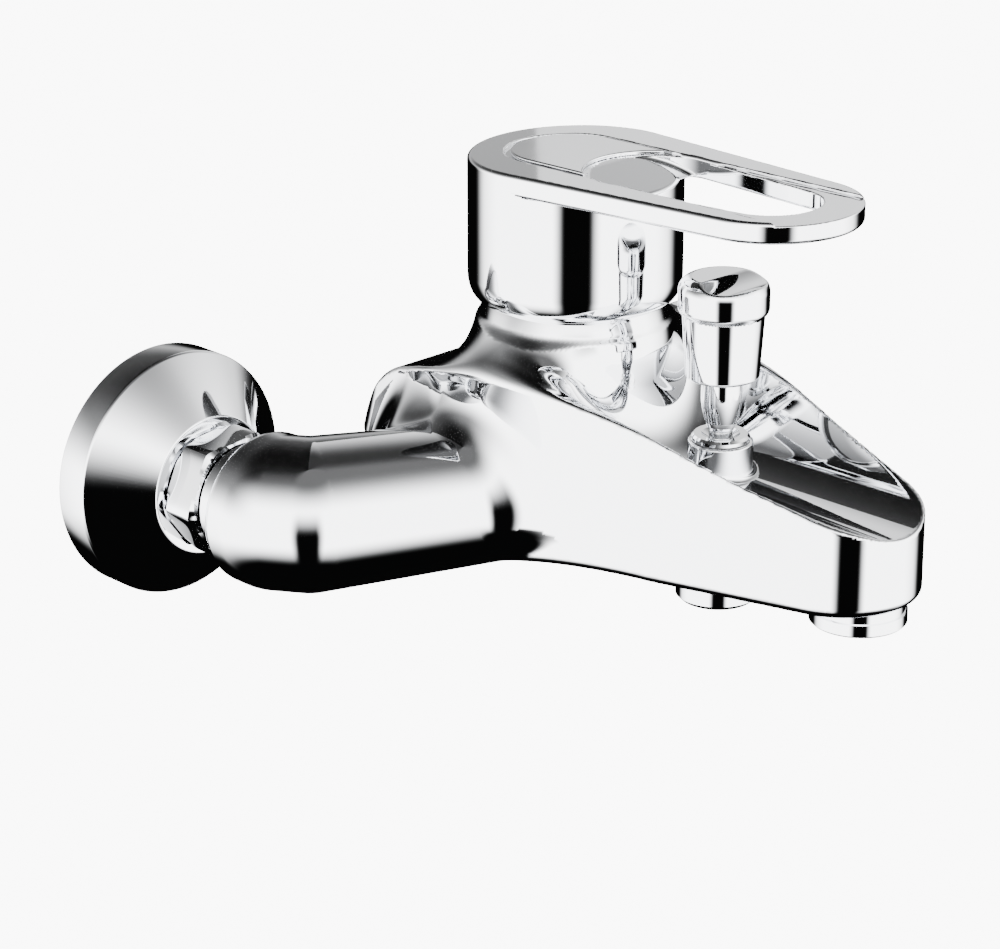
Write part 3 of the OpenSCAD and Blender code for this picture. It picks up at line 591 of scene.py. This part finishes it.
    def arm_fillet(self, y: Array, z: Array) -> Array:
        """Radius of the fillet at the arms: small below, wider above, widest at the back."""
        above = self.fillet_above * blend(z, *self.fillet_above_z)
        back = self.fillet_back * blend(y, *self.fillet_back_y) * blend(z, *self.fillet_back_z)
        return self.fillet_low + above + back

    def room(self, rho: Array, z: Array) -> Array:
        """Distance to the room of the neck: the ball alone above its foot, so the cap clears it."""
        low, high = self.room_z
        room = np.hypot(rho, z - self.pivot_z) - self.ball_r
        room = room - self.room_extra * blend(-z, -high, -low)
        return np.where(z > low, room, FAR_INSIDE)

    def bores(self, from_diverter: Array, z: Array) -> Array:
        """Distance to the diverter's bores: valve chamber, bonnet thread and seat hole."""
        chamber = np.maximum(from_diverter - self.valve_bore_r, z - self.upper_seat)
        over_seat = self.upper_seat + self.seat_thick
        thread = np.maximum(from_diverter - self.bonnet_bore_r, over_seat - z)
        return np.minimum(np.minimum(chamber, thread), from_diverter - self.seat_hole_r)

    def shape(self, x: Array, y: Array, z: Array) -> Array:
        """Signed distance of the whole casting."""
        rho = np.hypot(x, y + self.cart_y)
        body = join(self.block(x, y, z), self.arms(x, y, z), self.arm_fillet(y, z))
        neck = np.hypot(rho, np.maximum(z - self.pivot_z, 0.0)) - self.ball_r
        neck = np.maximum(neck, self.neck_foot - z)
        front = (y + self.cart_y) / np.maximum(rho, 1.0)
        body = join(body, neck, self.neck_fillet - self.neck_fillet_front * front)
        body = cut(body, z - self.neck_top, self.rim_edge)
        body = cut(body, self.room(rho, z), self.room_edge)
        from_diverter = np.hypot(x, y + self.diverter_y)
        boss = cut(from_diverter - self.boss_r, z - self.boss_z, self.boss_edge)
        body = join(body, np.maximum(boss, -z), self.boss_fillet)
        body = cut(body, -self.bores(from_diverter, z), self.bore_edge)
        mouth = np.hypot(x, y + self.aerator_y) - self.mouth_r
        mouth = np.maximum(mouth, z - self.mouth_top)
        body = cut(body, -mouth, self.mouth_edge)
        socket_end = y + self.arm_y - self.socket_tail
        block_end = y + self.back_y - self.back_margin
        face = np.where(np.abs(x) > self.arm_inner_x, socket_end, block_end)
        return np.maximum(body, face)

    def build(self, chrome: bpy.types.Material) -> None:
        """Builds the casting over its CAD node."""
        pitch = self.pitch * 1.0
        grid = Casting(*(steps(low, high, pitch) for low, high in self.box))
        piece = add_piece("casting", grid.skin(self.shape), chrome)
        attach(piece, "faucet")
        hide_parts("faucet_body")
        log.info("casting: %d faces", len(piece.data.polygons))


@dataclass
class Lever:
    """The cap with its looped plate: a plate over a round skirt that is hollow underneath."""

    axis_y: float = 78.1
    cap_r: float = 27.4
    top_z: float = 85.2
    reach: float = 66.4
    tip_r: float = 21.5
    thick: float = 5.5
    rise_deg: float = 1.7
    lip_z: float = 47.85
    lip_r: float = 24.25
    lip_round: float = 6.4
    cavity_r: float = 23.4
    cavity_top: float = 77.8
    boss_z: float = 62.7
    boss_r: float = 9.0
    loop_start: float = 26.0
    loop_r: float = 16.0
    loop_end: float = 65.2
    loop_tip_r: float = 12.5
    panel_r: float = 14.4
    panel_back: float = 3.0
    groove: float = 1.5
    groove_deep: float = 0.8
    panel_gap: float = 0.95
    panel_rise: float = 0.3
    screw_z: float = 68.0
    screw_hole_r: float = 3.3
    screw_hole_y: float = 20.0
    scoop_z: float = 85.5
    scoop_y: float = 10.0
    scoop_deg: float = 17.0
    scoop_slant: float = 0.956
    top_edge: float = 1.1
    low_edge: float = 1.2
    cavity_edge: float = 2.0
    boss_overlap: float = 2.0
    scoop_edge: float = 1.0
    loop_edge: float = 0.9
    groove_edge: float = 0.3
    panel_corner: float = 0.3
    panel_edge: float = 0.45
    panel_bed: float = 0.05
    box_x: tuple[float, float] = (-28.3, 28.3)
    box_y: tuple[float, float] = (-167.0, -50.0)
    skirt_z: tuple[float, float] = (47.2, 78.6)
    plate_z: tuple[float, float] = (78.6, 88.4)
    panel_box: tuple = ((-15.2, 15.2), (-106.0, -59.8), (83.6, 88.0))
    pitch: float = 0.5
    quick_pitch: float = 1.8
    skirt_pitch: float = 1.5
    plate_pitch: float = 0.7
    panel_pitch: tuple[float, float, float] = (0.6, 0.6, 0.5)

    def above(self, y: Array, z: Array) -> Array:
        """Distance above the top plane, which rises gently towards the tip."""
        a = math.radians(self.rise_deg)
        return (z - self.top_z) * math.cos(a) + y * math.sin(a)

    def loop(self, x: Array, y: Array) -> Array:
        """Distance to the outline of the loop's opening."""
        reach = self.loop_end - self.loop_start
        return two_circle_outline(x, y + self.loop_start, self.loop_r, self.loop_tip_r, reach)

    def panel(self, x: Array, y: Array) -> Array:
        """Distance to the panel's outline: round back, straight sides, the loop's edge in front."""
        back = np.hypot(x, y - self.panel_back)
        side = np.where(y > self.panel_back, back, np.abs(x)) - self.panel_r
        return cut(side, self.panel_gap - self.loop(x, y), self.panel_corner)

    def panel_shape(self, x: Array, y: Array, z: Array) -> Array:
        """Signed distance of the panel that lies in the plate's seat."""
        v = y + self.axis_y
        over = self.above(v, z)
        panel = cut(self.panel(x, v), over - self.panel_rise, self.panel_edge)
        return np.maximum(panel, -over - self.groove_deep + self.panel_bed)

    def shape(self, x: Array, y: Array, z: Array) -> Array:
        """Signed distance of the lever."""
        v = y + self.axis_y
        rho = np.hypot(x, v)
        over = self.above(v, z)
        plate = two_circle_outline(x, v, self.cap_r, self.tip_r, self.reach)
        plate = cut(plate, over, self.top_edge)
        plate = cut(plate, -over - self.thick, self.low_edge)
        turn_z = self.lip_z + self.lip_round
        depth = self.cap_r - self.lip_r
        lip = np.hypot(
            np.maximum(rho - self.lip_r, 0.0) / depth,
            np.minimum(z - turn_z, 0.0) / self.lip_round,
        )
        skirt = np.where(z < turn_z, (lip - 1.0) * depth, rho - self.cap_r)
        skirt = cut(skirt, over, self.top_edge)
        cavity = cut(rho - self.cavity_r, z - self.cavity_top, self.cavity_edge)
        skirt = np.maximum(skirt, self.lip_z - z)
        lever = np.minimum(np.maximum(skirt, -cavity), plate)
        boss = np.maximum(rho - self.boss_r, self.boss_z - z)
        boss = np.maximum(boss, z - self.cavity_top - self.boss_overlap)
        lever = np.minimum(lever, boss)
        sink = self.scoop_z + (v + self.scoop_y) * math.tan(math.radians(self.scoop_deg)) - z
        scoop = cut(self.loop(x, v), sink * self.scoop_slant, self.scoop_edge)
        lever = cut(lever, -scoop, self.loop_edge)
        seat = np.maximum(self.panel(x, v) - self.groove, -over - self.groove_deep)
        lever = cut(lever, -seat, self.groove_edge)
        hole = np.hypot(x, z - self.screw_z) - self.screw_hole_r
        hole = np.maximum(hole, self.screw_hole_y - v)
        return np.maximum(lever, -hole)

    def build(self, chrome: bpy.types.Material, bright: bpy.types.Material) -> None:
        """Builds the lever and its panel over their CAD nodes."""
        pitch = self.pitch * 1.0
        skirt = steps(*self.skirt_z, pitch * self.skirt_pitch)[:-1]
        plate = steps(*self.plate_z, pitch * self.plate_pitch)
        heights = np.concatenate([skirt, plate])
        grid = Casting(steps(*self.box_x, pitch), steps(*self.box_y, pitch), heights)
        piece = add_piece("lever_shell", grid.skin(self.shape), chrome)
        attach(piece, "lever_body")
        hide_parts("lever")
        log.info("lever: %d faces", len(piece.data.polygons))
        axes = zip(self.panel_box, self.panel_pitch)
        fine = Casting(*(steps(low, high, pitch * part) for (low, high), part in axes))
        panel = add_piece("inlaid_panel", fine.skin(self.panel_shape), bright)
        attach(panel, "lever_body")
        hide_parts("lever_panel")
        log.info("panel: %d faces", len(panel.data.polygons))


@dataclass
class DiverterKnob:
    """The lift-up knob: a tapered grip, a rounded head, a slanted finger dish and a thin neck."""

    axis_y: float = 129.0
    rim_r: float = 11.3
    rim_low: float = 54.4
    top: float = 64.1
    low: float = 38.4
    neck_r: float = 5.1
    neck_low: float = 24.4
    grip_low_r: float = 9.2
    grip_top_r: float = 10.2
    grip_slant: float = 0.998
    grip_edge: float = 0.8
    head_edge: float = 3.6
    head_low_edge: float = 2.2
    neck_overlap: float = 2.0
    cone_r: float = 3.2
    cone_slope: float = 0.40
    cone_edge: float = 1.5
    dish_y: float = 6.2
    dish_up: float = 11.4
    dish_r: float = 13.0
    dish_edge: float = 0.35
    reach: float = 12.0
    margin: float = 0.6
    pitch: float = 0.34
    quick_pitch: float = 1.7

    def shape(self, x: Array, y: Array, z: Array) -> Array:
        """Signed distance of the knob."""
        v = y + self.axis_y
        rho = np.hypot(x, v)
        slope = (self.grip_top_r - self.grip_low_r) / (self.rim_low - self.low)
        grip = (rho - self.grip_low_r - (z - self.low) * slope) * self.grip_slant
        grip = cut(grip, self.low - z, self.grip_edge)
        grip = cut(grip, z - self.rim_low - 1.0, 0.2)
        head = cut(rho - self.rim_r, z - self.top, self.head_edge)
        head = cut(head, self.rim_low - z, self.head_low_edge)
        neck = np.maximum(rho - self.neck_r, z - self.low - self.neck_overlap)
        cone = rho - self.cone_r - (z - self.neck_low) * self.cone_slope
        neck = cut(cut(neck, cone, self.cone_edge), self.neck_low - z, 0.3)
        knob = np.minimum(np.minimum(grip, head), neck)
        dish = np.hypot(v + self.dish_y, z - self.top - self.dish_up) - self.dish_r
        return cut(knob, -dish, self.dish_edge)

    def build(self, chrome: bpy.types.Material) -> None:
        """Builds the knob over its CAD node."""
        pitch = self.pitch * 1.0
        grid = Casting(
            steps(-self.reach, self.reach, pitch),
            steps(-self.axis_y - self.reach, -self.axis_y + self.reach, pitch),
            steps(self.neck_low - self.margin, self.top + self.margin, pitch),
        )
        piece = add_piece("knob", grid.skin(self.shape), chrome)
        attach(piece, "diverter")
        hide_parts("diverter_knob")
        log.info("knob: %d faces", len(piece.data.polygons))


@dataclass
class WallFlange:
    """A hollow wall cover: a straight rim and a flat cone up to its collar."""

    side: int
    inlet_x: float = 75.0
    rim_r: float = 32.4
    rim: float = 9.5
    depth: float = 21.5
    lip_r: float = 18.4
    hole_r: float = 13.27
    wall: float = 1.4
    places: int = 160

    def profile(self) -> list[tuple[float, float]]:
        """Section of the cover: rim, rounded shoulder, cone, lip, and back along the inside."""
        shoulder = math.degrees(math.atan2(self.rim_r - self.lip_r, self.depth - self.rim))
        points = [(self.rim_r - self.wall, 0.0), (self.rim_r - 0.3, 0.0)]
        points += arc(self.rim_r - 0.5, 0.5, 0.5, -60.0, 0.0, 3)
        points += arc(self.rim_r - 1.4, self.rim - 0.7, 1.4, 0.0, 90.0 - shoulder * 0.84, 6)
        points += arc(self.lip_r - 0.6, self.depth - 0.7, 1.0, 44.0, 90.0, 4)
        points += [
            (self.hole_r, self.depth + 0.3),
            (self.hole_r, self.depth - 5.0),
            (self.hole_r + 1.8, self.depth - 5.0),
            (self.hole_r + 1.8, self.depth - 1.6),
            (self.lip_r - 1.6, self.depth - 1.6),
            (self.rim_r - self.wall, self.rim - 0.8),
        ]
        return points

    def build(self, chrome: bpy.types.Material) -> None:
        """Builds the cover of one side over its CAD node."""
        name = "left" if self.side < 0 else "right"
        cover = turned(self.profile(), self.places)
        skin = stood(cover, (self.side * self.inlet_x, 0.0, 0.0))
        piece = add_piece(f"{name}_flange_cover", skin, chrome, 28.0)
        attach(piece, "faucet")
        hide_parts(f"{name}_wall_flange")
        log.info("%s flange: %d faces", name, len(piece.data.polygons))


@dataclass
class UnionNut:
    """A hexagonal union nut with rounded corners and chamfered ends."""

    side: int
    inlet_x: float = 75.0
    start: float = 22.4
    length: float = 11.2
    across_flats: float = 30.0
    bore_r: float = 13.22
    neck_hole_r: float = 9.7
    shoulder: float = 2.2
    turn_deg: float = 6.2
    corner_off: float = 0.45
    corner_soft: float = 0.35
    places: int = 240

    def skin(self) -> Skin:
        """The nut as a grid of places round it by rows along it.

        A place at angle a has the radius flats / 2 / cos(a to the nearest flat), held below the
        corner radius by a soft corner, and below the chamfer of its row.

        Returns:
            The closed skin about the Z axis.
        """
        places = self.places
        a = np.linspace(0.0, 2.0 * math.pi, places, endpoint=False)
        turned_by = math.radians(self.turn_deg + 30.0)
        near = (a - turned_by + math.pi / 6) % (math.pi / 3) - math.pi / 6
        flat = self.across_flats / 2.0 / np.cos(near)
        corner = self.across_flats / math.sqrt(3.0)
        soft, limit = self.corner_soft, corner - self.corner_off
        flat = limit - soft * np.log1p(np.exp((limit - flat) / soft))
        half = self.across_flats / 2.0
        rows = [
            (half - 0.5, 0.0),
            (half + 0.4, 0.35),
            (corner - 0.2, 1.35),
            (99.0, 1.8),
            (99.0, self.length - 1.8),
            (corner - 0.2, self.length - 1.35),
            (half + 0.4, self.length - 0.35),
            (half - 0.5, self.length),
        ]
        inner = [
            (self.neck_hole_r, self.length),
            (self.neck_hole_r, self.length - self.shoulder),
            (self.bore_r, self.length - self.shoulder),
            (self.bore_r, 0.0),
        ]
        outer = np.array([np.minimum(flat, r) for r, _ in rows])
        inside = np.array([np.full(places, r) for r, _ in inner])
        radius = np.concatenate([outer, inside])
        height = np.array([h for _, h in rows + inner])[:, None]
        height = np.repeat(height, places, axis=1)
        grid = np.stack([radius * np.cos(a), radius * np.sin(a), height], axis=2)
        return Skin(grid.reshape(-1, 3), ring_faces(len(radius), places))

    def build(self, chrome: bpy.types.Material) -> None:
        """Builds the nut of one side over its CAD node."""
        name = "left" if self.side < 0 else "right"
        skin = stood(self.skin(), (self.side * self.inlet_x, -self.start, 0.0))
        piece = add_piece(f"{name}_hex_nut", skin, chrome, 16.0)
        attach(piece, "faucet")
        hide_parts(f"{name}_union_nut")
        log.info("%s nut: %d faces", name, len(piece.data.polygons))


@dataclass
class Dressing:
    """Gives the CAD nodes that stay visible the finish of their own material."""

    finishes: dict[str, bpy.types.Material] = field(default_factory=dict)

    def make(self) -> None:
        """Builds one material for each of the record's slots."""
        self.finishes = {
            "chrome": POLISHED_CHROME.make(),
            "lever_panel": PANEL_CHROME.make(),
            "brass": TURNED_BRASS.make(),
            "steel": TURNED_STEEL.make(),
            "rubber": MOULDED_RUBBER.make(),
            "white_plastic": MOULDED_PLASTIC.make(),
            "ceramic": LAPPED_CERAMIC.make(),
        }

    def dress(self, frame: dict) -> None:
        """Puts each node's finish on it."""
        for part in frame["record"]["subparts"]:
            node = frame["nodes"][part["node"]]
            plated = part["node"].endswith("wall_union")
            finish = self.finishes["chrome" if plated else part["material_slot"]]
            if node.data.materials:
                for k in range(len(node.data.materials)):
                    node.data.materials[k] = finish
            else:
                node.data.materials.append(finish)


# ------------------------------------------------------------------ studio


@dataclass
class Studio:
    """A pale floor, a bright sky with dark screens that the chrome reflects, and the camera."""

    eye_mm: tuple[float, float, float] = (-602.47, -669.17, 326.66)
    azimuth_deg: float = -44.25
    elevation_deg: float = 21.27
    lens_mm: float = 125.43
    floor_z: float = -0.30
    floor_half: float = 8.0
    bright: float = 13.0
    sheen: float = 9.0
    fall: float = 2.2
    darkest: float = 0.004

    def camera(self) -> None:
        """Places the camera at its eye point, level, along its azimuth and elevation."""
        data = bpy.data.cameras.new("camera")
        data.sensor_width = 36.0
        data.lens = self.lens_mm
        data.clip_end = 50.0
        cam = bpy.data.objects.new("camera", data)
        a, e = math.radians(self.azimuth_deg), math.radians(self.elevation_deg)
        back = Vector((math.sin(a) * math.cos(e), -math.cos(a) * math.cos(e), math.sin(e)))
        right = Vector((math.cos(a), math.sin(a), 0.0))
        up = back.cross(right)
        turn = Matrix((right, up, back)).transposed().to_4x4()
        x, y, z = self.eye_mm
        cam.matrix_world = Matrix.Translation(Vector((x, y, z + LEVEL)) * MM) @ turn
        bpy.context.scene.collection.objects.link(cam)
        bpy.context.scene.camera = cam

    def floor(self) -> None:
        """Lays a wide pale floor that the chrome doesn't mirror."""
        mesh = bpy.data.meshes.new("floor")
        s, z = self.floor_half, self.floor_z
        mesh.from_pydata([(-s, -s, z), (s, -s, z), (s, s, z), (-s, s, z)], [], [(0, 1, 2, 3)])
        plane = bpy.data.objects.new("floor", mesh)
        mat = bpy.data.materials.new("floor_paint")
        mat.use_nodes = True
        shader = mat.node_tree.nodes["Principled BSDF"]
        shader.inputs["Base Color"].default_value = (0.94, 0.94, 0.94, 1.0)
        shader.inputs["Roughness"].default_value = 0.9
        mesh.materials.append(mat)
        plane.visible_glossy = False
        bpy.context.scene.collection.objects.link(plane)

    def sky(self) -> None:
        """Builds the sky: white all round, with the dark screens that give chrome its contrast."""
        world = bpy.data.worlds.new("studio")
        bpy.context.scene.world = world
        world.use_nodes = True
        tree = world.node_tree
        tree.nodes.clear()
        kit = SkyNodes(tree)
        direction = tree.nodes.new("ShaderNodeTexCoord").outputs["Generated"]
        split = tree.nodes.new("ShaderNodeSeparateXYZ")
        tree.links.new(direction, split.inputs["Vector"])
        x, y, z = split.outputs
        elevation = kit.degrees(kit.math("ARCSINE", z))
        azimuth = kit.degrees(kit.math("ARCTAN2", y, x))
        away = kit.math("ADD", azimuth, 90.0 - self.azimuth_deg)
        away = kit.math("WRAP", away, 180.0, -180.0)
        aside = kit.math("ABSOLUTE", away)
        # the screen round the camera, open above
        strip = kit.both(kit.ramp(aside, 27.0, 11.0), kit.ramp(elevation, 30.0, -14.0))
        # the dark table below
        table = kit.ramp(elevation, -26.0, -60.0)
        # the dark back of the studio, below the horizon
        back = kit.both(kit.ramp(aside, 112.0, 136.0), kit.ramp(elevation, 14.0, -4.0))
        # the grey ceiling
        ceiling = kit.both(kit.ramp(elevation, 20.0, 66.0), 0.80)
        # the grey wall behind, above the horizon
        wall = kit.both(kit.ramp(aside, 90.0, 140.0), 0.50)
        # the left side darkens upwards sooner than the right
        left = kit.both(kit.ramp(away, -30.0, -95.0), kit.ramp(elevation, -4.0, 30.0))
        left = kit.both(left, 0.70)
        light = kit.inverse(strip)
        for screen in (table, back, ceiling, wall, left):
            light = kit.both(light, kit.inverse(screen))
        light = kit.math("POWER", light, self.fall)
        light = kit.math("MULTIPLY_ADD", light, self.sheen, self.darkest)
        mirrored = tree.nodes.new("ShaderNodeBackground")
        tree.links.new(light, mirrored.inputs["Strength"])
        plain = tree.nodes.new("ShaderNodeBackground")
        plain.inputs["Strength"].default_value = self.bright
        ray = tree.nodes.new("ShaderNodeLightPath")
        mix = tree.nodes.new("ShaderNodeMixShader")
        tree.links.new(ray.outputs["Is Glossy Ray"], mix.inputs["Fac"])
        tree.links.new(plain.outputs["Background"], mix.inputs[1])
        tree.links.new(mirrored.outputs["Background"], mix.inputs[2])
        out = tree.nodes.new("ShaderNodeOutputWorld")
        tree.links.new(mix.outputs["Shader"], out.inputs["Surface"])

    def lamp(self) -> None:
        """Hangs one wide soft lamp over the object for the parts that aren't metal."""
        data = bpy.data.lights.new("soft_lamp", "AREA")
        data.energy = 3.0
        data.size = 1.2
        lamp = bpy.data.objects.new("soft_lamp", data)
        lamp.location = (-0.5, -0.7, 1.3)
        lamp.rotation_euler = (math.radians(32.0), 0.0, math.radians(-35.0))
        lamp.visible_glossy = False
        bpy.context.scene.collection.objects.link(lamp)

    def build(self) -> None:
        """Sets up the studio."""
        self.camera()
        self.floor()
        self.sky()
        self.lamp()


class SkyNodes:
    """Small helper that writes math nodes of the sky."""

    def __init__(self, tree: bpy.types.NodeTree) -> None:
        """Keeps the tree that the nodes go into."""
        self.tree = tree

    def math(self, operation: str, *values: bpy.types.NodeSocket | float) -> bpy.types.NodeSocket:
        """One math node of sockets and numbers.

        Args:
            operation: the node's operation.
            values: its inputs, in order.

        Returns:
            The output socket.
        """
        node = self.tree.nodes.new("ShaderNodeMath")
        node.operation = operation
        for k, value in enumerate(values):
            if isinstance(value, (int, float)):
                node.inputs[k].default_value = value
            else:
                self.tree.links.new(value, node.inputs[k])
        return node.outputs[0]

    def degrees(self, value: bpy.types.NodeSocket) -> bpy.types.NodeSocket:
        """Turns radians into degrees."""
        return self.math("MULTIPLY", value, 180.0 / math.pi)

    def both(
        self, a: bpy.types.NodeSocket, b: bpy.types.NodeSocket | float
    ) -> bpy.types.NodeSocket:
        """The product of two shares."""
        return self.math("MULTIPLY", a, b)

    def inverse(self, value: bpy.types.NodeSocket) -> bpy.types.NodeSocket:
        """One minus the value."""
        return self.math("SUBTRACT", 1.0, value)

    def ramp(
        self, value: bpy.types.NodeSocket, zero: float, one: float
    ) -> bpy.types.NodeSocket:
        """A smooth step from 0 at `zero` to 1 at `one`."""
        node = self.tree.nodes.new("ShaderNodeMapRange")
        node.interpolation_type = "SMOOTHSTEP"
        low, high = min(zero, one), max(zero, one)
        node.inputs["From Min"].default_value = low
        node.inputs["From Max"].default_value = high
        node.inputs["To Min"].default_value = 0.0 if zero < one else 1.0
        node.inputs["To Max"].default_value = 1.0 if zero < one else 0.0
        self.tree.links.new(value, node.inputs["Value"])
        return node.outputs["Result"]


def corners(box: tuple[Vector, Vector]) -> list[list[float]]:
    """A box's corners as plain lists of numbers."""
    return [[float(v) for v in corner] for corner in box]


def main() -> None:
    """Builds the studio and every piece in order."""
    logging.basicConfig(level=logging.INFO, format="%(name)s: %(message)s")
    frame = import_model()
    Studio().build()
    dressing = Dressing()
    dressing.make()
    dressing.dress(frame)
    chrome = dressing.finishes["chrome"]
    FaucetBody().build(chrome)
    Lever().build(chrome, dressing.finishes["lever_panel"])
    DiverterKnob().build(chrome)
    for side in (-1, 1):
        WallFlange(side).build(chrome)
        UnionNut(side).build(chrome)
    bpy.context.view_layer.update()


if __name__ == "__main__":
    main()
